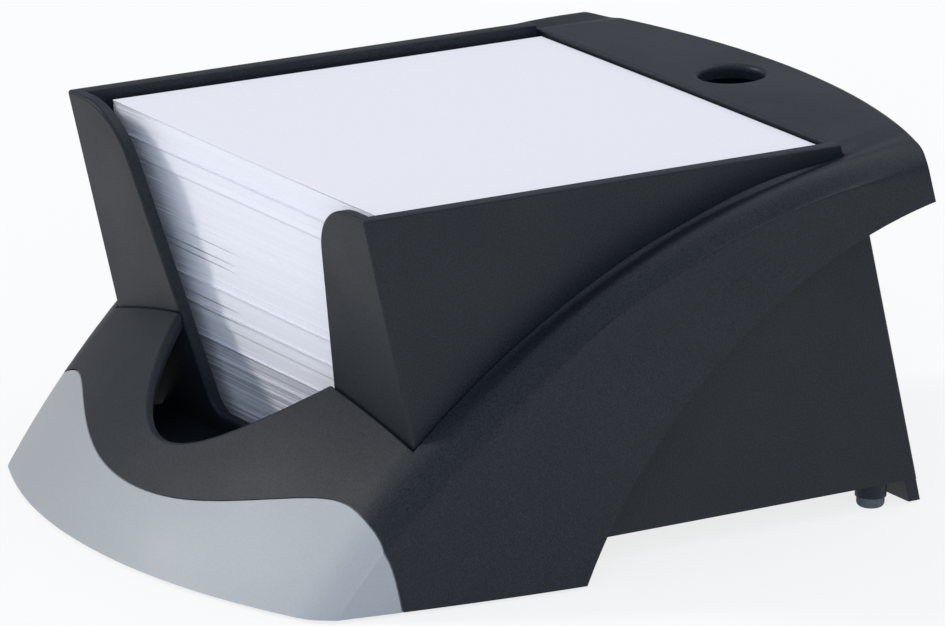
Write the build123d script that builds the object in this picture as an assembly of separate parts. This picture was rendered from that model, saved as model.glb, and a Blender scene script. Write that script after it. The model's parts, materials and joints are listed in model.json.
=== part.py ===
from build123d import *
import os
from math import cos, radians, sin, sqrt, tan

# A desk memo box: a leaning paper tray inside an arched cover.
# Millimetres, +Z up, +Y towards the back, origin at the bottom centre of the whole box.

# Paper
SHEET = 90.0
STACK_HEIGHT = 55.7
STACK_ASIDE = 0.5
TOP_SHEET = 0.4
BUNDLES = 6
BUNDLE_STRAY = 0.25
STRAY_STEP_X = 1.7
STRAY_STEP_Y = 2.1

# Tray
LEAN = 14.4
WALL = 2.4
SIDE_PLAY = 1.1
FRONT_GAP = 4.1
REAR_GAP = 0.5
RIM_Z = 67.8
FLOOR_Z = 8.0
FLOOR = 2.4
SIDE_WALL_FOOT_Z = 4.6
REAR_WALL_FOOT_Z = 0.4
REAR_WALL_ARCH = 5.0
REAR_WALL_HEEL = 9.0
CORNER_RADIUS = 0.6
RIM_ROUND = 0.5

# Finger opening between the two front stubs of the tray
STUB_TOP = 15.0
OPENING_DEPTH = 54.0
OPENING_TAPER = 13.1
STUB_RADIUS = 12.0
OPENING_RADIUS = 4.0

# Arched cover
COVER_WALL = 2.6
DECK_STEP = 0.1
LIP_Z = 0.6
APRON_RUN = 22.6
APRON_SWELL = 2.2
APRON_SWELL_RUN = 15.0
LIP_RADIUS = 114.0
DECK_RUN = 21.7
DECK_RADIUS = 136.0
DECK_ROUND = 3.0
DECK_ROUND_START = 15.0
DECK_CROWN = 0.15
APEX_BEFORE_EDGE = 7.8
REAR_SKIRT = 10.8
JOINT_GAP = 0.2
FIT_PLAY = 0.05

# Skirt and shoulder of the cover
SKIRT_REACH = 11.7
SKIRT_BOW_RADIUS = 460.0
SKIRT_BOW_Y = 74.4
SKIRT_DRAFT = 3.0
SHOULDER_START = 1.5
SHOULDER_START_DECK = 8.0
SHOULDER_DROP_FRONT = 9.0
SHOULDER_DROP_REAR = 10.0
SHOULDER_DROP_DECK = 11.0
VALLEY_FRONT = 0.2
VALLEY_REAR = 1.5
VALLEY_DECK = 0.4
CREST_FRONT = 1.2
CREST_REAR = 0.5
CREST_DECK = 0.3
DECK_FADE = 14.0
SHOULDER_SHARES = (0, 0.30, 0.62, 0.93, 1)
SHOULDER_PACE = (0, 0.19, 0.38, 0.65, 1)
SHOULDER_TURN = 0.38
SHOULDER_TURN_DECK = 0.22

# Open arch under the skirt, measured from the tray's front face at the rim
ARCH_FOOT_RUN = 39.3
ARCH_MID_RUN = 66.0
ARCH_MID_Z = 36.1
ARCH_TIP_RUN = 112.0

# Finger notch in the apron
NOTCH_REACH = 8.1
NOTCH_HALF_WIDTH = 30.0
NOTCH_DEPTH = 26.3
NOTCH_ROUND = 0.8
MOUTH_ROUND = 0.35

# Front panel
PANEL = 1.4
PANEL_SEAM = 0.2
PANEL_REACH = 25.0
PANEL_EDGE = [
    (0, 10.5),
    (8, 11.6),
    (16.5, 14.7),
    (23.5, 17.0),
    (27.5, 16.1),
    (30.2, 12.6),
    (31.6, 6.0),
    (32.4, -2.0),
]
PEG_RADIUS = 1.5
PEG_SPREAD = 33.0
PEG_LENGTH = 3.5
PEG_Z = 5.4

# Pen sleeve
PEN_RADIUS = 5.8
PEN_SLEEVE = 1.2
PEN_RUN = 8.1
PEN_DEPTH = 25.0
PEN_FLOOR = 1.2
PEN_RIM = 0.9
COLLAR = 1.6
COLLAR_DEPTH = 7.0

# Screws and their bosses
SCREW_RADIUS = 1.45
SCREW_LENGTH = 9.0
SCREW_HEAD_RADIUS = 2.8
SCREW_HEAD = 1.8
SCREW_PLAY = 0.15
SCREW_SLOT = 0.8
BOSS_RADIUS = 3.4
FRONT_SCREW_X = 33.0
FRONT_SCREW_RUN = 2.5
REAR_SCREW_X = 30.0
REAR_SCREW_RUN = 9.0
TAB = 2.4
TAB_WIDTH = 11.0
TAB_BELOW_DECK = 8.5

# Front tongue of the tray floor, under the apron
TONGUE_RUN = 9.5
TONGUE_HALF_WIDTH = 40.0

# Feet
POST_RADIUS = 2.8
PAD_RADIUS = 2.5
PAD = 2.0
PAD_ROUND = 0.9
STEM_RADIUS = 1.2
STEM = 3.0
REAR_FOOT_INSET = 3.2
REAR_FOOT_RUN = 108.0
FRONT_FOOT_X = 33.0
FRONT_FOOT_RUN = 10.0

# Places worked out from the sizes above
LEAN_RUN = tan(radians(LEAN))
WALL_RUN = WALL / cos(radians(LEAN))
TRAY_HALF_WIDTH = SHEET / 2 + SIDE_PLAY + WALL
TRAY_INNER_DEPTH = SHEET + FRONT_GAP + REAR_GAP
TRAY_DEPTH = TRAY_INNER_DEPTH + 2 * WALL_RUN
DECK_Z = RIM_Z + DECK_STEP
REAR_SKIRT_Z = DECK_Z - REAR_SKIRT
LENGTH = APRON_RUN + TRAY_DEPTH + DECK_RUN + REAR_SKIRT * LEAN_RUN
RIM_FRONT_Y = APRON_RUN - LENGTH / 2
LIP_Y = RIM_FRONT_Y - APRON_RUN
TRAY_REAR_Y = RIM_FRONT_Y + TRAY_DEPTH
DECK_EDGE_Y = TRAY_REAR_Y + DECK_RUN
APEX_Y = DECK_EDGE_Y - APEX_BEFORE_EDGE
RISE = DECK_Z - LIP_Z
FLOOR_TOP = FLOOR_Z + FLOOR
DECK_UNDER = DECK_Z - COVER_WALL
PEN_Y = TRAY_REAR_Y + PEN_RUN
PANEL_AXIS_Y = LIP_Y + LIP_RADIUS
BELOW = -90.0
ABOVE = 30.0
FAR = 200.0
MARGIN = 1.0
NEAR = 0.01
STATIONS = 11
FRONT_OVERRUN = 0.5
REAR_OVERRUN = 12.0
STEEPEST = 72.0
LEVEL = 0.9
FOOTED = (Align.CENTER, Align.CENTER, Align.MIN)


def run(distance):
    """The Y of a point given as its distance behind the tray's front face at the rim."""
    return RIM_FRONT_Y + distance


def lean_shift(z):
    """How far a leaning face has moved back from its place at the rim when it is down at height z."""
    return (RIM_Z - z) * LEAN_RUN


def leaning_block(front, depth, half_width, low, high):
    """A block with upright sides whose front and rear faces lean with the tray."""
    corners = [
        (front + lean_shift(low), low),
        (front + depth + lean_shift(low), low),
        (front + depth + lean_shift(high), high),
        (front + lean_shift(high), high),
    ]
    return extrude(Plane.YZ * Polygon(*corners, align=None), amount=half_width, both=True)


def both_sides(x):
    return (-x, x)


def ease(share):
    """A smooth step from 0 to 1."""
    share = min(max(share, 0.0), 1.0)
    return share * share * (3 - 2 * share)


# The arched form of the cover
def arch_radius(x):
    """Radius of the arch at a distance x from the middle: its front end follows the round lip."""
    lip = LIP_Y + LIP_RADIUS - sqrt(LIP_RADIUS**2 - x**2)
    reach = APEX_Y - lip
    return (reach**2 + RISE**2) / (2 * RISE)


def arch_height(x, y, inset):
    """Height of the arch over the point x, y, for a skin inset below the outer; straight if too steep."""
    radius = arch_radius(x) - inset
    before = max(APEX_Y - y, 0.0)
    curved = min(before, radius * sin(radians(STEEPEST)))
    straight = (before - curved) * tan(radians(STEEPEST))
    return DECK_Z - inset - radius + sqrt(radius**2 - curved**2) - straight


def skirt_half_width(y, z, inset):
    """Half the width between the two skirts at height z: bowed along the box and drafted upwards."""
    bow = sqrt(SKIRT_BOW_RADIUS**2 - (y - run(SKIRT_BOW_Y))**2) - SKIRT_BOW_RADIUS
    draft = (z - LIP_Z) * tan(radians(SKIRT_DRAFT))
    return TRAY_HALF_WIDTH + SKIRT_REACH + bow - draft - inset


def apron_swell(y):
    """How far the middle of the apron stands above the plain arch: nothing at the lip itself."""
    behind_lip = ease((y - LIP_Y) / APRON_SWELL_RUN)
    beside_tray = ease((y - RIM_FRONT_Y) / (TRAY_DEPTH / 2))
    return APRON_SWELL * behind_lip * (1 - beside_tray)


def along_cover(y, front, rear, deck):
    """A size of the shoulder, which changes along the tray's front half and again towards the deck's edge."""
    fade_start = TRAY_REAR_Y - DECK_FADE
    beside_tray = ease((y - RIM_FRONT_Y) / (TRAY_DEPTH / 2))
    behind_tray = ease((y - fade_start) / (DECK_EDGE_Y - fade_start))
    return front + (rear - front) * beside_tray + (deck - rear) * behind_tray


def shoulder_start(y):
    """Half the width of the cover's crowned top, where the shoulder starts."""
    return TRAY_HALF_WIDTH - along_cover(y, SHOULDER_START, SHOULDER_START, SHOULDER_START_DECK)


def arch_section(y, inset):
    """Right half of a section of the cover's block: crowned top, soft valley and crest, drafted skirt."""
    valley = along_cover(y, VALLEY_FRONT, VALLEY_REAR, VALLEY_DECK)
    crest = along_cover(y, CREST_FRONT, CREST_REAR, CREST_DECK)
    drop = along_cover(y, SHOULDER_DROP_FRONT, SHOULDER_DROP_REAR, SHOULDER_DROP_DECK)
    start = shoulder_start(y)
    top = arch_height(0, y, inset) + apron_swell(y)
    joint = min(arch_height(start, y, inset), top - DECK_CROWN)
    fall = 2 * (joint - top) / start
    half = skirt_half_width(y, joint - drop, inset)
    width = half - start
    turn = crest + along_cover(y, SHOULDER_TURN, SHOULDER_TURN, SHOULDER_TURN_DECK) * (drop - crest)
    points = []
    for part, sunk in zip(SHOULDER_SHARES, (0, valley, crest, turn, drop)):
        points.append((start + part * width, joint + fall * part * width - sunk))
    half, low = points[-1]
    foot = half + (low - BELOW) * tan(radians(SKIRT_DRAFT))
    leave = (1.0, fall)
    arrive = (foot - half, BELOW - low)
    outline = [
        TangentArc((0, top), (start, joint), tangent=(1, 0)),
        Edge.make_spline(points, tangents=[leave, arrive], parameters=SHOULDER_PACE),
        Polyline((half, low), (foot, BELOW), (0, BELOW), (0, top)),
    ]
    return Plane(origin=(0, y, 0), x_dir=(1, 0, 0), z_dir=(0, -1, 0)) * make_face(outline)


def deck_end(inset):
    """Everything in front of the cover's leaning rear face, round in plan and along its upper edge."""
    lean_wide = cos(radians(LEAN))
    heart = DECK_RADIUS + DECK_ROUND * LEAN_RUN - DECK_ROUND / lean_wide
    corner = []
    for turn in (DECK_ROUND_START, (DECK_ROUND_START + 90 - LEAN) / 2, 90 - LEAN):
        reach = heart + (DECK_ROUND - inset) * sin(radians(turn))
        corner.append((reach, DECK_Z - DECK_ROUND + (DECK_ROUND - inset) * cos(radians(turn))))
    low = BELOW - MARGIN
    foot = DECK_RADIUS - inset / lean_wide + (DECK_Z - low) * LEAN_RUN
    roof = corner[0][0] - ABOVE
    high = corner[0][1] + ABOVE * tan(radians(DECK_ROUND_START))
    outline = [
        ThreePointArc(*corner),
        Polyline(corner[2], (foot, low), (0, low), (0, high), (roof, high), corner[0]),
    ]
    centre = (0, DECK_EDGE_Y - DECK_RADIUS, 0)
    profile = Plane(origin=centre, x_dir=(0, -1, 0), z_dir=(-1, 0, 0)) * make_face(outline)
    return revolve(profile, axis=Axis(centre, (0, 0, 1)))


def arch_block(inset):
    """The solid under the cover's skin, cut off at the back along the leaning, round deck edge."""
    front = LIP_Y - FRONT_OVERRUN
    spacing = (DECK_EDGE_Y + REAR_OVERRUN - front) / (STATIONS - 1)
    block = loft([arch_section(front + step * spacing, inset) for step in range(STATIONS)])
    block += mirror(block, about=Plane.YZ)
    return block & deck_end(inset)


# Tray
def upright(radius, x, y, low, high):
    """A round post or hole from one height to another."""
    return Pos(x, y, low) * Cylinder(radius, high - low, align=FOOTED)


def front_opening():
    """The U-shaped finger opening: everything between the two rounded stubs of the front wall."""
    low = RIM_Z - OPENING_DEPTH
    top_half = TRAY_HALF_WIDTH - STUB_TOP
    low_half = top_half - OPENING_DEPTH * tan(radians(OPENING_TAPER))
    right = [(TRAY_HALF_WIDTH, low - WALL), (TRAY_HALF_WIDTH, RIM_Z), (top_half, RIM_Z), (low_half, low)]
    left = [(-x, z) for x, z in reversed(right)]
    wall = Polygon(*right, *left, align=None)
    stub_corners = [v for v in wall.vertices() if abs(abs(v.X) - top_half) < NEAR]
    wall = fillet(stub_corners, STUB_RADIUS)
    low_corners = [v for v in wall.vertices() if abs(abs(v.X) - low_half) < NEAR]
    wall = fillet(low_corners, OPENING_RADIUS)
    field = Pos(0, RIM_Z - OPENING_DEPTH / 2) * Rectangle(2 * TRAY_HALF_WIDTH, OPENING_DEPTH + 2 * MARGIN)
    reach = lean_shift(low) + WALL_RUN + 2 * MARGIN
    start = Plane(origin=(0, RIM_FRONT_Y - MARGIN, 0), x_dir=(1, 0, 0), z_dir=(0, -1, 0))
    return extrude(start * (field - wall), amount=-reach)


def tray_shell():
    """The leaning box with its floor, and the rear wall carried down to the desk on two heels."""
    inner_half = TRAY_HALF_WIDTH - WALL
    inner_front = RIM_FRONT_Y + WALL_RUN
    box = leaning_block(RIM_FRONT_Y, TRAY_DEPTH, TRAY_HALF_WIDTH, SIDE_WALL_FOOT_Z, RIM_Z)
    upright_corners = [e for e in box.edges() if abs(e.tangent_at(0.5).Z) > 0.5]
    box = fillet(upright_corners, CORNER_RADIUS)
    rear_y = TRAY_REAR_Y - WALL_RUN
    heel_half = TRAY_HALF_WIDTH - CORNER_RADIUS
    box += leaning_block(rear_y, WALL_RUN, heel_half, REAR_WALL_FOOT_Z, SIDE_WALL_FOOT_Z)
    box -= leaning_block(inner_front, TRAY_INNER_DEPTH, inner_half, FLOOR_TOP, RIM_Z + ABOVE)
    box -= leaning_block(inner_front, TRAY_INNER_DEPTH, inner_half, REAR_WALL_FOOT_Z, FLOOR_Z)
    arch_half = TRAY_HALF_WIDTH - REAR_WALL_HEEL
    arch_top = REAR_WALL_FOOT_Z + REAR_WALL_ARCH
    bow = ThreePointArc((-arch_half, REAR_WALL_FOOT_Z), (0, arch_top), (arch_half, REAR_WALL_FOOT_Z))
    chord = Line((arch_half, REAR_WALL_FOOT_Z), (-arch_half, REAR_WALL_FOOT_Z))
    rear_plane = Plane(origin=(0, TRAY_REAR_Y, 0), x_dir=(1, 0, 0), z_dir=(0, -1, 0))
    return box - extrude(rear_plane * make_face([bow, chord]), amount=-FAR)


def foot_places():
    """Node name and X, Y of each foot."""
    rear_x = TRAY_HALF_WIDTH - REAR_FOOT_INSET
    return [
        ("foot_front_left", -FRONT_FOOT_X, run(FRONT_FOOT_RUN)),
        ("foot_front_right", FRONT_FOOT_X, run(FRONT_FOOT_RUN)),
        ("foot_rear_left", -rear_x, run(REAR_FOOT_RUN)),
        ("foot_rear_right", rear_x, run(REAR_FOOT_RUN)),
    ]


def screw_places():
    """X, Y and the height of the seat under the head of each screw."""
    tab_under = DECK_UNDER - TAB_BELOW_DECK - TAB
    front = [(x, run(FRONT_SCREW_RUN), FLOOR_Z) for x in both_sides(FRONT_SCREW_X)]
    rear = [(x, TRAY_REAR_Y + REAR_SCREW_RUN, tab_under) for x in both_sides(REAR_SCREW_X)]
    return front + rear


def tray_body():
    tray = tray_shell() - front_opening()
    tongue_front = run(-TONGUE_RUN)
    tongue_rear = run(lean_shift(FLOOR_Z) + WALL_RUN)
    middle = (tongue_front + tongue_rear) / 2
    tongue = Box(2 * TONGUE_HALF_WIDTH, tongue_rear - tongue_front, FLOOR, align=FOOTED)
    tray += (Pos(0, middle, FLOOR_Z) * tongue) & arch_block(COVER_WALL + JOINT_GAP)
    tab_top = DECK_UNDER - TAB_BELOW_DECK
    tab_start = TRAY_REAR_Y + lean_shift(tab_top) - WALL_RUN / 2
    tab_end = TRAY_REAR_Y + REAR_SCREW_RUN + BOSS_RADIUS + MARGIN
    for x in both_sides(REAR_SCREW_X):
        tab = Box(TAB_WIDTH, tab_end - tab_start, TAB, align=(Align.CENTER, Align.MIN, Align.MAX))
        tray += Pos(x, tab_start, tab_top) * tab
    for name, x, y in foot_places():
        tray += upright(POST_RADIUS, x, y, PAD, FLOOR_Z)
    for name, x, y in foot_places():
        tray -= upright(STEM_RADIUS + FIT_PLAY, x, y, PAD, PAD + STEM + FIT_PLAY)
    for x, y, seat in screw_places():
        tray -= upright(SCREW_RADIUS + SCREW_PLAY, x, y, seat - FLOOR, seat + FLOOR + TAB)
    inner_rear = TRAY_REAR_Y - WALL_RUN - JOINT_GAP
    seat_z = arch_height(shoulder_start(inner_rear), inner_rear, COVER_WALL) - JOINT_GAP
    tray -= leaning_block(inner_rear, FAR, FAR, seat_z, RIM_Z + ABOVE)
    shoulder_z = seat_z - VALLEY_REAR
    clear_half = shoulder_start(TRAY_REAR_Y) - MARGIN
    beside = leaning_block(inner_rear, FAR, FAR, shoulder_z, RIM_Z + ABOVE)
    beside -= leaning_block(inner_rear, FAR, clear_half, shoulder_z, RIM_Z + ABOVE)
    tray -= beside
    rim = [e for e in tray.edges() if abs(e.center().Z - RIM_Z) < NEAR]
    along = [e for e in rim if e.length > TRAY_DEPTH / 2]
    across = [e for e in rim if abs(e.tangent_at(0.5).X) > LEVEL and e.center().Y < 0]
    return fillet(along + across, RIM_ROUND)


# Cover and front panel
def tray_space(depth, high):
    """The space that some depth of the tray takes up to a height, with the joint's gap all round."""
    half = TRAY_HALF_WIDTH + JOINT_GAP
    return leaning_block(RIM_FRONT_Y - JOINT_GAP, depth + 2 * JOINT_GAP, half, BELOW, high)


def tray_mouth():
    """Where the tray comes up through the cover's skin, as far back as the front edge of the deck."""
    return tray_space(TRAY_DEPTH - WALL_RUN - JOINT_GAP, RIM_Z + ABOVE)


def cut_edges(block, cut):
    """The edges that a cut has left in the block's skin: above the tray's floor and not upright."""
    edges = []
    for edge in block.edges():
        middle = edge.position_at(0.5)
        on_skin = middle.Z > FLOOR_TOP + MARGIN and abs(edge.tangent_at(0.5).Z) < LEVEL
        if on_skin and cut.distance_to(middle) < NEAR:
            edges.append(edge)
    return edges


def finger_notch():
    """A parabola in plan, cut straight down through the apron in front of the tray."""
    apex = run(-NOTCH_REACH)
    end = apex + NOTCH_DEPTH
    ends = [(-NOTCH_HALF_WIDTH, end), (NOTCH_HALF_WIDTH, end)]
    bow = Bezier(ends[0], (0, apex - NOTCH_DEPTH), ends[1])
    plan = make_face([bow, Line(ends[1], ends[0])])
    return extrude(Plane.XY.offset(FLOOR_TOP) * plan, amount=FAR)


def skirt_arch():
    """The open arch under both skirts and the rear of the cover, seen from the side."""
    foot = (run(ARCH_FOOT_RUN), LIP_Z)
    tip = (run(ARCH_TIP_RUN), REAR_SKIRT_Z)
    bow = ThreePointArc(foot, (run(ARCH_MID_RUN), ARCH_MID_Z), tip)
    rest = Polyline(tip, (FAR, REAR_SKIRT_Z), (FAR, BELOW), (foot[0], BELOW), foot)
    return extrude(Plane.YZ * make_face([bow, rest]), amount=FAR, both=True)


def panel_region(grow):
    """Everything below the waved upper edge of the front panel, seen from the middle of the round lip."""
    half = [(angle, height + grow) for angle, height in PANEL_EDGE]
    edge = [(-angle, height) for angle, height in reversed(half[1:])] + half
    stretch = 1 + grow / (LIP_RADIUS * radians(PANEL_EDGE[-1][0]))
    curves = []
    for radius in (LIP_RADIUS - PANEL_REACH, LIP_RADIUS + PANEL_REACH):
        points = []
        for angle, height in edge:
            turn = radians(angle * stretch)
            points.append((radius * sin(turn), PANEL_AXIS_Y - radius * cos(turn), LIP_Z + height))
        curves.append(Edge.make_spline(points, parameters=list(range(len(points)))))
    return extrude(Face.make_surface_from_curves(*curves), amount=FAR, dir=(0, 0, -1))


def front_face_y(x, z, inset):
    """Where the apron's skin, or a skin inset behind it, stands at height z."""
    radius = arch_radius(x)
    return APEX_Y - sqrt((radius - inset)**2 - (z - DECK_Z + radius)**2)


def panel_pegs(play):
    """Three level pegs on the back of the panel, or with some play the holes that they go through."""
    pegs = []
    for x in (-PEG_SPREAD, 0.0, PEG_SPREAD):
        start = front_face_y(x, PEG_Z, 0)
        end = front_face_y(x, PEG_Z, COVER_WALL) + PEG_LENGTH
        place = Plane(origin=(x, start, PEG_Z), x_dir=(1, 0, 0), z_dir=(0, 1, 0))
        pegs.append(place * Cylinder(PEG_RADIUS + play, end - start, align=FOOTED))
    return Part() + pegs


def pen_axis():
    """The plane across the top of the pen's bore, which leans with the tray's rear wall."""
    lean_up = (0, -sin(radians(LEAN)), cos(radians(LEAN)))
    return Plane(origin=(0, PEN_Y, DECK_Z), x_dir=(1, 0, 0), z_dir=lean_up)


def pen_rod(radius, depth, height):
    """A round rod on the pen's axis, from a depth below the deck to a height above it."""
    return pen_axis() * Pos(0, 0, -depth) * Cylinder(radius, depth + height, align=FOOTED)


def half_space(low, high):
    """Everything between two heights."""
    return Pos(0, 0, low) * Box(4 * FAR, 4 * FAR, high - low, align=FOOTED)


def arch_cover(outer, backing):
    """The shell with its bosses and collar; backing is the block that these reach up into."""
    skin = outer & half_space(LIP_Z, FAR)
    bore = pen_rod(PEN_RADIUS, FAR, COLLAR_DEPTH)
    for cut, radius in ((finger_notch(), NOTCH_ROUND), (tray_mouth(), MOUTH_ROUND), (bore, PEN_RIM)):
        skin -= cut
        skin = fillet(cut_edges(skin, cut), radius)
    cover = skin - arch_block(COVER_WALL)
    sleeve_radius = PEN_RADIUS + PEN_SLEEVE
    inside = Part()
    for x, y, seat in screw_places():
        inside += upright(BOSS_RADIUS, x, y, seat + FLOOR, seat + FAR)
    collar = pen_rod(sleeve_radius + COLLAR, COLLAR_DEPTH, COLLAR_DEPTH) - bore
    inside += collar & half_space(BELOW, DECK_Z - 2 * PEN_RIM)
    inside -= tray_space(TRAY_DEPTH, RIM_Z)
    cover += inside & backing
    cover -= (cover - arch_block(PANEL + FIT_PLAY)) & panel_region(PANEL_SEAM)
    cover -= panel_pegs(FIT_PLAY)
    cover -= skirt_arch()
    cover -= tray_space(TRAY_DEPTH, DECK_UNDER - VALLEY_REAR)
    socket = pen_rod(sleeve_radius + FIT_PLAY, COLLAR_DEPTH * 2, COLLAR_DEPTH)
    cover -= socket & half_space(BELOW, DECK_UNDER)
    for x, y, seat in screw_places():
        cover -= upright(SCREW_RADIUS + FIT_PLAY, x, y, seat, seat + SCREW_LENGTH + SCREW_PLAY)
    return cover


def front_panel(outer, backing):
    """The panel's skin with its pegs, which reach up into the same backing."""
    skin = (outer & half_space(LIP_Z, FAR)) - arch_block(PANEL)
    return (skin & panel_region(0)) + (panel_pegs(0) & backing)


# Loose pieces
def pen_tube():
    """The sleeve in the collar under the deck, closed at its lower end."""
    tube = pen_rod(PEN_RADIUS + PEN_SLEEVE, PEN_DEPTH, COLLAR_DEPTH)
    tube -= pen_rod(PEN_RADIUS, PEN_DEPTH - PEN_FLOOR, COLLAR_DEPTH)
    return tube & half_space(BELOW, DECK_UNDER)


def rubber_foot(x, y):
    """A round pad with a softened lower edge and a stem that plugs into its post."""
    pad = upright(PAD_RADIUS, 0, 0, 0, PAD)
    pad = fillet(pad.edges().sort_by(Axis.Z)[0], PAD_ROUND)
    return Pos(x, y, 0) * (pad + upright(STEM_RADIUS, 0, 0, PAD, PAD + STEM))


def cover_screws():
    """Four like screws with round heads and a crossed slot."""
    head = upright(SCREW_HEAD_RADIUS, 0, 0, -SCREW_HEAD, 0)
    head = fillet(head.edges().sort_by(Axis.Z)[0], SCREW_HEAD / 2)
    shank = upright(SCREW_RADIUS, 0, 0, 0, SCREW_LENGTH)
    screw = head + chamfer(shank.edges().sort_by(Axis.Z)[-1], SCREW_RADIUS / 2)
    slot = Box(SCREW_HEAD_RADIUS, SCREW_SLOT, SCREW_HEAD, align=(Align.CENTER, Align.CENTER, Align.MAX))
    slots = Pos(0, 0, -SCREW_HEAD / 2) * (slot + Rot(0, 0, 90) * slot)
    screw = screw - slots
    return Compound(children=[Pos(*place) * screw for place in screw_places()])


def paper_bundle(index):
    """One bundle of the loose stack, a little out of line with its neighbours."""
    share = (STACK_HEIGHT - TOP_SHEET) / BUNDLES
    low = FLOOR_TOP + index * share
    stray_x = STACK_ASIDE + BUNDLE_STRAY * cos(STRAY_STEP_X * index)
    stray_y = BUNDLE_STRAY * sin(STRAY_STEP_Y * index)
    front = RIM_FRONT_Y + WALL_RUN + FRONT_GAP
    return Pos(stray_x, stray_y, 0) * leaning_block(front, SHEET, SHEET / 2, low, low + share)


def top_sheet():
    high = FLOOR_TOP + STACK_HEIGHT
    front = RIM_FRONT_Y + WALL_RUN + FRONT_GAP
    return Pos(STACK_ASIDE, 0, 0) * leaning_block(front, SHEET, SHEET / 2, high - TOP_SHEET, high)


# Build every piece and write it
outer_skin = arch_block(0)
half_panel_skin = arch_block(PANEL / 2)
pieces = {
    "tray_body": tray_body(),
    "arch_cover": arch_cover(outer_skin, half_panel_skin),
    "front_panel": front_panel(outer_skin, half_panel_skin),
    "pen_tube": pen_tube(),
    "cover_screws": cover_screws(),
    "top_sheet": top_sheet(),
}
for foot_name, foot_x, foot_y in foot_places():
    pieces[foot_name] = rubber_foot(foot_x, foot_y)
for number in range(BUNDLES):
    pieces[f"paper_bundle_{number + 1}"] = paper_bundle(number)

os.makedirs("parts", exist_ok=True)
for node, solid in pieces.items():
    export_step(solid, f"parts/{node}.step")
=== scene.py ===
# %% [markdown]
# # A memo box with its stack of note paper
# A memo box stands on a desk and holds loose note paper within reach. This one is two black mouldings,
# a tray that holds the paper and an arched cover that the tray comes up through, with a grey panel let
# into the front. Their shapes are worked out in a CAD model, which is loaded first as a fixed frame.
# In Blender the box could be modelled again from nothing, but then it would no longer fit the frame,
# so this lesson keeps the mouldings where they are and gives them their finish and their paper.

import json
import math
import random

import bmesh
import bpy
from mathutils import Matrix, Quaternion, Vector


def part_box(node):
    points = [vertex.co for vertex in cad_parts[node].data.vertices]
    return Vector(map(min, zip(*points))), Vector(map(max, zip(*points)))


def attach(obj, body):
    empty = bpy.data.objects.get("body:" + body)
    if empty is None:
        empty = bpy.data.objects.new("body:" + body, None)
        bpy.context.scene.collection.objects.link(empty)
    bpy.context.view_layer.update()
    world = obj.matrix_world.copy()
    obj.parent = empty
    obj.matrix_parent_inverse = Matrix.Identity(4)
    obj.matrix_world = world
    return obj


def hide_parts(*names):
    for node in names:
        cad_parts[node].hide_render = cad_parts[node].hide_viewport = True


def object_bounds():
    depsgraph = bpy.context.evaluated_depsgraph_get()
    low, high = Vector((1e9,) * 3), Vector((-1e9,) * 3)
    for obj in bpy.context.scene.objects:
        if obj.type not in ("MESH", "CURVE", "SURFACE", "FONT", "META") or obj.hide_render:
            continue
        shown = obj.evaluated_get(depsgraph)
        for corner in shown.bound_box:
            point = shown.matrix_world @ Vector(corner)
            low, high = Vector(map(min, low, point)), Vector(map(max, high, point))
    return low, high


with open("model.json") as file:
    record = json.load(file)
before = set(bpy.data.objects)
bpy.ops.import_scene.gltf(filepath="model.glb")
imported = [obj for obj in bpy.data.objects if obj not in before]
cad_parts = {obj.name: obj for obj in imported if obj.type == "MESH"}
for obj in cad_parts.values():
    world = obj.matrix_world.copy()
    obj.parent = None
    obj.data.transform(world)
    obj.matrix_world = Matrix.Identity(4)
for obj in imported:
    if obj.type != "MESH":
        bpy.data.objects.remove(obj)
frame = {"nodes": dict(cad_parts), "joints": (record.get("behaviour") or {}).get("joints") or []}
cad_low, cad_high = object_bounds()
MM = 0.001
cad_sides = [round(side / MM, 1) for side in cad_high - cad_low]
print("loaded", len(frame["nodes"]), "pieces, box in mm", cad_sides)

# %% [markdown]
# ## Small tools for the finishes
# Every finish below is a node tree that reads Object coordinates, so its grain has a real size in metres
# and stays on the piece when the piece moves. Short helpers make the nodes that all of them need: a noise
# of a chosen lump size, a number or a colour that follows the noise, and a bump of a real depth.
# A noise seldom leaves the range from 0.3 to 0.7, so the number and the colour stretch that range.

# %% Node helpers
NOISE_LOW = 0.3
NOISE_HIGH = 0.7


def new_finish(name):
    """A material with its node tree, its shader and its Object coordinates."""
    material = bpy.data.materials.new(name)
    material.use_nodes = True
    tree = material.node_tree
    place = tree.nodes.new("ShaderNodeTexCoord").outputs["Object"]
    return material, tree, tree.nodes["Principled BSDF"], place


def noise(tree, place, lump, detail):
    """Noise with lumps about so many metres wide."""
    node = tree.nodes.new("ShaderNodeTexNoise")
    node.inputs["Scale"].default_value = 1 / lump
    node.inputs["Detail"].default_value = detail
    tree.links.new(place, node.inputs["Vector"])
    return node.outputs["Fac"]


def number_from(tree, amount, low, high):
    """A number that goes from low to high with the noise."""
    node = tree.nodes.new("ShaderNodeMapRange")
    node.inputs["From Min"].default_value = NOISE_LOW
    node.inputs["From Max"].default_value = NOISE_HIGH
    node.inputs["To Min"].default_value = low
    node.inputs["To Max"].default_value = high
    tree.links.new(amount, node.inputs["Value"])
    return node.outputs["Result"]


def colour_from(tree, amount, dark, light):
    """A colour that goes from dark to light with the noise."""
    node = tree.nodes.new("ShaderNodeValToRGB")
    for stop, position, colour in zip(node.color_ramp.elements, (NOISE_LOW, NOISE_HIGH), (dark, light)):
        stop.position = position
        stop.color = (*colour, 1)
    tree.links.new(amount, node.inputs["Fac"])
    return node.outputs["Color"]


def bump_from(tree, amount, depth):
    """A surface that rises by so many metres with the noise."""
    node = tree.nodes.new("ShaderNodeBump")
    node.inputs["Strength"].default_value = 1
    node.inputs["Distance"].default_value = depth
    tree.links.new(amount, node.inputs["Height"])
    return node.outputs["Normal"]


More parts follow.
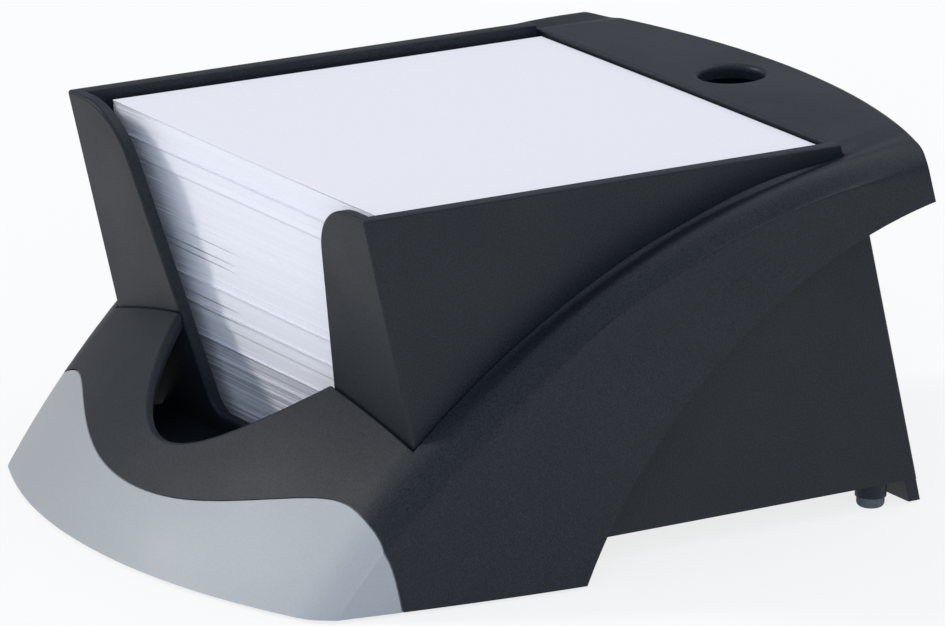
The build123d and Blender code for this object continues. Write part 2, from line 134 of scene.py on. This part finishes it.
print("noise is stretched from", NOISE_LOW, "to", NOISE_HIGH)

# %% [markdown]
# ## Moulded plastic
# The tray and the cover are moulded in a black plastic with a blue cast. The skin has a fine even grain,
# as from a spark-eroded mould, which scatters the light and makes the plastic look satin. The grain could
# be an image, but an image has to be wrapped round every curve. One noise of a third of a millimetre gives
# the grain its bump and its speckle instead, and a second, broad one lets the gloss wander slightly, as
# handling does. The grey panel and the lining of the pen hole are the same kind of plastic with other
# values, so all three come from one function.

# %% Make the plastics
HANDLED = 22 * MM


def moulded_plastic(name, dark, light, gloss, mirror, grain, depth):
    """Grained plastic: two tints of one colour, its roughness and reflection, a grain and its depth."""
    material, tree, shader, place = new_finish(name)
    fine = noise(tree, place, grain, 2)
    broad = noise(tree, place, HANDLED, 3)
    tree.links.new(colour_from(tree, fine, dark, light), shader.inputs["Base Color"])
    tree.links.new(number_from(tree, broad, *gloss), shader.inputs["Roughness"])
    tree.links.new(bump_from(tree, fine, depth), shader.inputs["Normal"])
    shader.inputs["Specular IOR Level"].default_value = mirror
    return material


black_plastic = moulded_plastic(
    "black_plastic", dark=(0.005, 0.008, 0.011), light=(0.017, 0.021, 0.027),
    gloss=(0.44, 0.54), mirror=0.29, grain=0.33 * MM, depth=0.014 * MM)
grey_plastic = moulded_plastic(
    "grey_plastic", dark=(0.325, 0.340, 0.345), light=(0.360, 0.375, 0.380),
    gloss=(0.42, 0.52), mirror=0.35, grain=0.25 * MM, depth=0.005 * MM)
# The lining is almost black and barely reflects, darker than the black plastic: painted shade for the deep
# pen hole.
shaded_lining_plastic = moulded_plastic(
    "shaded_lining_plastic", dark=(0.001, 0.001, 0.002), light=(0.003, 0.003, 0.004),
    gloss=(0.6, 0.7), mirror=0.05, grain=0.4 * MM, depth=0.01 * MM)
print("plastics:", black_plastic.name, grey_plastic.name, shaded_lining_plastic.name)

# %% [markdown]
# ## Rubber and screw steel
# Four small pads under the box keep it from sliding. They are made as rubber, which is dull and a little
# dusty, so its roughness stays high. The screws that hold the cover to the tray are made as zinc-plated
# steel: metal, bright, with a cloudy tint. Both could have several layers of noise, but they are small and
# seldom seen, so one noise sets the colour, the roughness and the bump of each.

# %% Make the rubber and the steel
def mottled_finish(name, dark, light, gloss, lump, detail, depth, metal):
    """A finish whose colour, roughness and bump all follow one noise."""
    material, tree, shader, place = new_finish(name)
    mottle = noise(tree, place, lump, detail)
    shader.inputs["Metallic"].default_value = metal
    tree.links.new(colour_from(tree, mottle, dark, light), shader.inputs["Base Color"])
    tree.links.new(number_from(tree, mottle, *gloss), shader.inputs["Roughness"])
    tree.links.new(bump_from(tree, mottle, depth), shader.inputs["Normal"])
    return material


rubber = mottled_finish(
    "foot_rubber", dark=(0.055, 0.070, 0.078), light=(0.105, 0.125, 0.135),
    gloss=(0.6, 0.8), lump=1.2 * MM, detail=4, depth=0.02 * MM, metal=0)
steel = mottled_finish(
    "screw_steel", dark=(0.50, 0.51, 0.50), light=(0.66, 0.67, 0.69),
    gloss=(0.28, 0.42), lump=2.5 * MM, detail=3, depth=0.01 * MM, metal=1)
print("small finishes:", rubber.name, steel.name)

# %% [markdown]
# ## Dress the mouldings
# The tray, the cover, the panel, the pen sleeve, the screws and the feet make up the box itself. They
# could be copied and remodelled, but their shapes are right as the CAD made them, so they stay, and only
# their material slots change. A CAD piece is never moved or remodelled here.

# %% Give each CAD piece its finish
FINISH_OF = {
    "tray_body": black_plastic,
    "arch_cover": black_plastic,
    "front_panel": grey_plastic,
    # the pen sleeve gets the near-black lining, which paints the shade inside the hole
    "pen_tube": shaded_lining_plastic,
    "cover_screws": steel,
}
for node_name, cad_piece in frame["nodes"].items():
    finish = rubber if node_name.startswith("foot_") else FINISH_OF.get(node_name)
    if finish:
        cad_piece.data.materials.clear()
        cad_piece.data.materials.append(finish)
print("dressed", len(FINISH_OF), "mouldings and screws, and the feet")

# %% [markdown]
# ## The finish of the paper
# Note paper is a cool white. Its faces are smooth and dull, and a cut stack shows its edges as fine lines
# because no two leaves are quite the same. Lines could be painted with a wave texture, but the real ones
# come from leaves that stand a little back, so here each leaf is a part of the mesh with a shade of its
# own in an attribute, and the material only reads that shade and adds the fibre. A low shade gives a leaf
# a dark grey tint, which is painted shade for the dark lines between the leaves.

# %% Make the paper
SHADE = "leaf_shade"
FIBRE = 0.5 * MM
FIBRE_DEPTH = 0.006 * MM
# The dark grey tints are painted shade, for the dark lines between the leaves of the stack.
SHADED_LEAF_TINTS = (0.42, 0.43, 0.46), (0.47, 0.48, 0.51)
CLEAN_TINTS = (0.770, 0.770, 0.800), (0.800, 0.800, 0.830)


def note_paper():
    """Cool white paper, whose tint each leaf sets by its shade, down to a dark grey of painted shade."""
    material, tree, shader, place = new_finish("note_paper")
    fibre = noise(tree, place, FIBRE, 4)
    shade = tree.nodes.new("ShaderNodeAttribute")
    shade.attribute_name = SHADE
    tint = tree.nodes.new("ShaderNodeMix")
    tint.data_type = "RGBA"
    tree.links.new(shade.outputs["Fac"], tint.inputs["Factor"])
    tree.links.new(colour_from(tree, fibre, *SHADED_LEAF_TINTS), tint.inputs["A"])
    tree.links.new(colour_from(tree, fibre, *CLEAN_TINTS), tint.inputs["B"])
    tree.links.new(tint.outputs["Result"], shader.inputs["Base Color"])
    tree.links.new(number_from(tree, fibre, 0.82, 0.92), shader.inputs["Roughness"])
    tree.links.new(bump_from(tree, fibre, FIBRE_DEPTH), shader.inputs["Normal"])
    shader.inputs["Specular IOR Level"].default_value = 0.25
    return material


paper = note_paper()
print("paper finish:", paper.name)

# %% [markdown]
# ## Plan the stack of paper
# Some 540 loose leaves lie in the tray, here as six refills of ninety. The stack leans forward with the
# tray, so each leaf lies a little further back than the one above it. The unevenness could be drawn leaf by
# leaf, but leaves come in runs that were cut together, so a run shares its setback and its shade. The
# lowest leaves are the most uneven, and their runs take shades down to a dark grey, which is painted shade
# for the dark lines low in the stack. A few leaves stand well back at their left end, which opens the dark
# wedges in the front of the stack, and a few stand proud of it.

# %% Read the lean of the stack and plan its unevenness
lift_axis = Vector(frame["joints"][0]["axis"])
LEAN = -lift_axis.y / lift_axis.z
LEAVES_PER_REFILL = 90
LOW_LEAVES_BELOW = 24.6 * MM
# Low leaves take shades down to dark grey: painted shade for the lines low in the stack.
LOW_SHADED_LEAVES = {"run": (1, 4), "back": 0.40 * MM, "skew": 0.40 * MM, "shade": (0.0, 1.0)}
FRESH_LEAVES = {"run": (2, 8), "back": 0.06 * MM, "skew": 0.30 * MM, "shade": (0.93, 1.0)}
STRAY_LEFT = 0.03 * MM
STRAY_RIGHT = 0.02 * MM
WEDGES_AT = [height * MM for height in (45.0, 42.6, 41.2, 33.2, 30.9, 24.3, 17.9, 14.3)]
WEDGE_HALF = 0.13 * MM
WEDGE_DEPTH = 1.6 * MM
PROUD_AT = [height * MM for height in (60.4, 36.6, 31.6, 24.9)]
PROUD_HALF = 0.06 * MM
PROUD_BY = 0.35 * MM
leaf_luck = random.Random(11)
print("the stack leans forward by", round(math.degrees(math.atan(LEAN)), 1), "degrees")

# %% [markdown]
# ## One leaf
# A leaf is a thin square of paper. A single block with painted lines would look flat from close by, so
# every leaf is a thin cube of its own. Its front edge could be one straight line, but then a leaf that
# stands back at the left would open a wedge right across the stack. A cut near the middle gives the edge
# a fold, so that only its left end stands back.

# %% Add a leaf to a mesh
FOLD_SHARE = -0.12


def add_leaf(shape, shade_layer, middle, size, backs, shade):
    """A thin cube whose front edge stands back by its own amount at the left, the fold and the right."""
    left_back, fold_back, right_back = backs
    corners = bmesh.ops.create_cube(shape, size=1)["verts"]
    bmesh.ops.scale(shape, vec=size, verts=corners)
    leaf = set(corners)
    for corner in corners:
        leaf.update(corner.link_edges, corner.link_faces)
    fold_x = FOLD_SHARE * size.x
    cut = bmesh.ops.bisect_plane(shape, geom=list(leaf), plane_co=(fold_x, 0, 0), plane_no=(1, 0, 0))
    folds = [part for part in cut["geom_cut"] if isinstance(part, bmesh.types.BMVert)]
    for corner in corners:
        if corner.co.y < 0:
            corner.co.y += left_back if corner.co.x < 0 else right_back
    for fold in folds:
        if fold.co.y < 0:
            fold.co.y += fold_back
    bmesh.ops.translate(shape, vec=middle, verts=corners + folds)
    for face in {face for corner in corners + folds for face in corner.link_faces}:
        face[shade_layer] = shade


print("a leaf folds at", FOLD_SHARE, "of its width from the middle")

# %% [markdown]
# ## Lay the refills
# The CAD holds each refill as one solid block. The block could be kept and textured, but its front would
# be a plain face, so leaves are laid from the bottom up in the space of the block, and the finished piece
# stands for the block and rides the same body.

# %% Lay the leaves of the six refills
LEAF_SHARE = 0.97
REFILLS = 6


def near_any(height, places, half):
    """Whether a height lies at one of the places."""
    return any(abs(height - place) <= half for place in places)


def finished_piece(shape, name, material, slot, body, *nodes):
    """Turns a bmesh into a piece that rides a body and stands for its CAD nodes."""
    bmesh.ops.recalc_face_normals(shape, faces=shape.faces)
    mesh = bpy.data.meshes.new(name)
    shape.to_mesh(mesh)
    shape.free()
    mesh.materials.append(material)
    piece = bpy.data.objects.new(name, mesh)
    bpy.context.scene.collection.objects.link(piece)
    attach(piece, body)
    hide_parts(*nodes)
    return piece


def lay_refill(node_name):
    """The leaves of one refill, inside the space of its CAD block."""
    low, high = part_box(node_name)
    centre = (low + high) / 2
    pitch = (high.z - low.z) / LEAVES_PER_REFILL
    depth = high.y - low.y - LEAN * (high.z - low.z)
    size = Vector((high.x - low.x, depth, pitch * LEAF_SHARE))
    shape = bmesh.new()
    shade_layer = shape.faces.layers.float.new(SHADE)
    run_left = 0
    for leaf in range(LEAVES_PER_REFILL):
        height = low.z + (leaf + 0.5) * pitch
        kind = LOW_SHADED_LEAVES if height < LOW_LEAVES_BELOW else FRESH_LEAVES
        if run_left == 0:
            run_left = leaf_luck.randint(*kind["run"])
            run_back = leaf_luck.uniform(0, kind["back"])
            run_skew = leaf_luck.uniform(0, kind["skew"])
            run_shade = leaf_luck.uniform(*kind["shade"])
        run_left -= 1
        left_back = run_back + run_skew + leaf_luck.uniform(0, STRAY_LEFT)
        right_back = run_back + leaf_luck.uniform(0, STRAY_RIGHT)
        fold_back = right_back
        if near_any(height, WEDGES_AT, WEDGE_HALF):
            left_back += WEDGE_DEPTH
        if near_any(height, PROUD_AT, PROUD_HALF):
            left_back = fold_back = right_back = -PROUD_BY
        middle = Vector((centre.x, centre.y + LEAN * (centre.z - height), height))
        add_leaf(shape, shade_layer, middle, size, (left_back, fold_back, right_back), run_shade)
    name = node_name.replace("bundle", "refill")
    return finished_piece(shape, name, paper, "note_paper", "paper_stack", node_name)


refills = [lay_refill(f"paper_bundle_{count}") for count in range(1, REFILLS + 1)]
print("laid", len(refills), "refills with", sum(len(refill.data.polygons) for refill in refills), "faces")

# %% [markdown]
# ## The top leaf
# The leaf on top is the one that a hand takes, so it is a piece of its own and lifts off. A loose leaf is
# never quite flat. A cube can't wave, but a grid with many squares can, so the leaf starts as a grid, gets
# a wave of a fraction of a millimetre, and is then made solid.

# %% Lay the top leaf
WAVE_HEIGHT = 0.16 * MM
WAVE_SQUARES = 24
WAVE_ACROSS = 1.3
WAVE_ALONG = 0.9
LEAF_THICKNESS = 0.10 * MM
LEAF_GAP = 0.06 * MM


def lay_top_leaf():
    """One loose leaf that waves slightly."""
    low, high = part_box("top_sheet")
    width = high.x - low.x
    depth = high.y - low.y
    shape = bmesh.new()
    shade_layer = shape.faces.layers.float.new(SHADE)
    bmesh.ops.create_grid(shape, x_segments=WAVE_SQUARES, y_segments=WAVE_SQUARES, size=0.5)
    bmesh.ops.scale(shape, vec=(width, depth, 1), verts=shape.verts)
    for vert in shape.verts:
        turn = math.pi * (WAVE_ACROSS * vert.co.x / width + WAVE_ALONG * vert.co.y / depth)
        vert.co.z = WAVE_HEIGHT * (0.5 + 0.5 * math.sin(turn))
    lift = Vector(((low.x + high.x) / 2, (low.y + high.y) / 2, low.z + LEAF_GAP))
    bmesh.ops.translate(shape, vec=lift, verts=shape.verts)
    upper = bmesh.ops.extrude_face_region(shape, geom=shape.faces[:])
    raised = [part for part in upper["geom"] if isinstance(part, bmesh.types.BMVert)]
    bmesh.ops.translate(shape, vec=(0, 0, LEAF_THICKNESS), verts=raised)
    for face in shape.faces:
        face[shade_layer] = 1
    return finished_piece(shape, "top_leaf", paper, "note_paper", "loose_sheet", "top_sheet")


top_leaf = lay_top_leaf()
print("top leaf has", len(top_leaf.data.polygons), "faces")

# %% [markdown]
# ## The floor
# The box stands on a plain white table that runs out into white. A table in bright lamps could turn white
# by itself, but so much light would bleach the paper and the grey panel too. Light Path tells a shader who
# is looking, so the eye, a mirror and a clear piece see most of the table as an even white, and the rest
# as a lit surface that keeps the shadow of the box. The light that the table throws back stays as it was.

# %% Lay the floor
FLOOR_HALF = 4.0
FLOOR_CLOUD = 300 * MM
FLOOR_GLOW = 0.8


def whiten_floor(tree, shader):
    """Mixes an even white into the floor for the rays that look at it."""
    path = tree.nodes.new("ShaderNodeLightPath")
    seen = path.outputs["Is Camera Ray"]
    for ray in ("Is Glossy Ray", "Is Transmission Ray"):
        either = tree.nodes.new("ShaderNodeMath")
        either.operation = "MAXIMUM"
        tree.links.new(seen, either.inputs[0])
        tree.links.new(path.outputs[ray], either.inputs[1])
        seen = either.outputs["Value"]
    share = tree.nodes.new("ShaderNodeMath")
    share.operation = "MULTIPLY"
    share.inputs[1].default_value = FLOOR_GLOW
    tree.links.new(seen, share.inputs[0])
    glow = tree.nodes.new("ShaderNodeEmission")
    mix = tree.nodes.new("ShaderNodeMixShader")
    tree.links.new(share.outputs["Value"], mix.inputs["Fac"])
    tree.links.new(shader.outputs["BSDF"], mix.inputs[1])
    tree.links.new(glow.outputs["Emission"], mix.inputs[2])
    tree.links.new(mix.outputs["Shader"], tree.nodes["Material Output"].inputs["Surface"])


def lay_floor():
    """A wide pale table top at the height of the feet."""
    material, tree, shader, place = new_finish("floor_white")
    cloud = noise(tree, place, FLOOR_CLOUD, 2)
    white = colour_from(tree, cloud, (0.83, 0.83, 0.825), (0.85, 0.85, 0.845))
    tree.links.new(white, shader.inputs["Base Color"])
    shader.inputs["Roughness"].default_value = 0.9
    shader.inputs["Specular IOR Level"].default_value = 0.1
    whiten_floor(tree, shader)
    shape = bmesh.new()
    bmesh.ops.create_grid(shape, x_segments=1, y_segments=1, size=FLOOR_HALF)
    mesh = bpy.data.meshes.new("floor")
    shape.to_mesh(mesh)
    shape.free()
    mesh.materials.append(material)
    floor = bpy.data.objects.new("floor", mesh)
    bpy.context.scene.collection.objects.link(floor)
    return floor


floor = lay_floor()
print("floor is", 2 * FLOOR_HALF, "m wide")

# %% [markdown]
# ## The light
# The box is lit softly. A single bare lamp would leave hard shadows, and a white world alone would leave
# none, so three suns share the work: a warm key from the left front gives the form and the shadow on the
# paper, a wide blue fill from the right opens the side wall, and a very wide one from above and behind
# lights the deck. The fill is hidden from mirror rays, so it lightens the wall and adds no sheen of its
# own. A pale world opens what is left. Together they light a level surface about once over, so that a
# colour comes out near the way it is written.

# %% Hang the lights
KEY_FROM = Vector((-0.55, -0.74, 0.60))
KEY_STRENGTH = 1.45
KEY_SPREAD = 11.0
KEY_COLOUR = (1.0, 0.975, 0.93)
FILL_FROM = Vector((0.80, -0.62, 0.35))
FILL_STRENGTH = 1.5
FILL_SPREAD = 40.0
FILL_COLOUR = (0.66, 0.79, 1.0)
TOP_FROM = Vector((0.10, 0.50, 0.85))
TOP_STRENGTH = 0.95
TOP_SPREAD = 60.0
TOP_COLOUR = (0.94, 0.97, 1.0)
WORLD_STRENGTH = 0.46
WORLD_COLOUR = (0.87, 0.89, 1.0)


def hang_sun(name, towards, strength, spread, colour):
    """A soft sun, as wide in degrees as its spread."""
    lamp = bpy.data.lights.new(name, "SUN")
    lamp.energy = strength
    lamp.color = colour
    lamp.angle = math.radians(spread)
    sun = bpy.data.objects.new(name, lamp)
    sun.rotation_euler = towards.to_track_quat("Z", "Y").to_euler()
    bpy.context.scene.collection.objects.link(sun)
    return sun


key_light = hang_sun("key_light", KEY_FROM, KEY_STRENGTH, KEY_SPREAD, KEY_COLOUR)
fill_light = hang_sun("fill_light", FILL_FROM, FILL_STRENGTH, FILL_SPREAD, FILL_COLOUR)
fill_light.visible_glossy = False
top_light = hang_sun("top_light", TOP_FROM, TOP_STRENGTH, TOP_SPREAD, TOP_COLOUR)

world = bpy.data.worlds.new("studio")
world.use_nodes = True
sky = world.node_tree.nodes["Background"]
sky.inputs["Color"].default_value = (*WORLD_COLOUR, 1)
sky.inputs["Strength"].default_value = WORLD_STRENGTH
bpy.context.scene.world = world
bpy.context.scene.view_settings.view_transform = "Standard"
print("lights:", key_light.name, fill_light.name, top_light.name, "and the world")

# %% [markdown]
# ## The camera
# The picture is taken from the right front, a little above the box. A short lens close by would make the
# near wall loom, so a long lens stands far away, and lines which are parallel on the box stay nearly
# parallel. The camera looks at a point on the middle plane of the box and leans by one degree.

# %% Set the camera
AZIMUTH = math.radians(56.586)
ELEVATION = math.radians(16.503)
ROLL = math.radians(0.976)
DISTANCE = 1.4102
LENS = 307.3
SENSOR = 36
LOOK_AT = Vector((0, 3.13, 31.53)) * MM

backwards = Vector((
    math.sin(AZIMUTH) * math.cos(ELEVATION),
    -math.cos(AZIMUTH) * math.cos(ELEVATION),
    math.sin(ELEVATION),
))
camera_data = bpy.data.cameras.new("camera")
camera_data.sensor_width = SENSOR
camera_data.lens = LENS
camera = bpy.data.objects.new("camera", camera_data)
camera.location = LOOK_AT + backwards * DISTANCE
camera.rotation_mode = "QUATERNION"
camera.rotation_quaternion = (-backwards).to_track_quat("-Z", "Y") @ Quaternion((0, 0, 1), ROLL)
bpy.context.scene.collection.objects.link(camera)
bpy.context.scene.camera = camera
print("camera stands at", [round(part, 3) for part in camera.location])
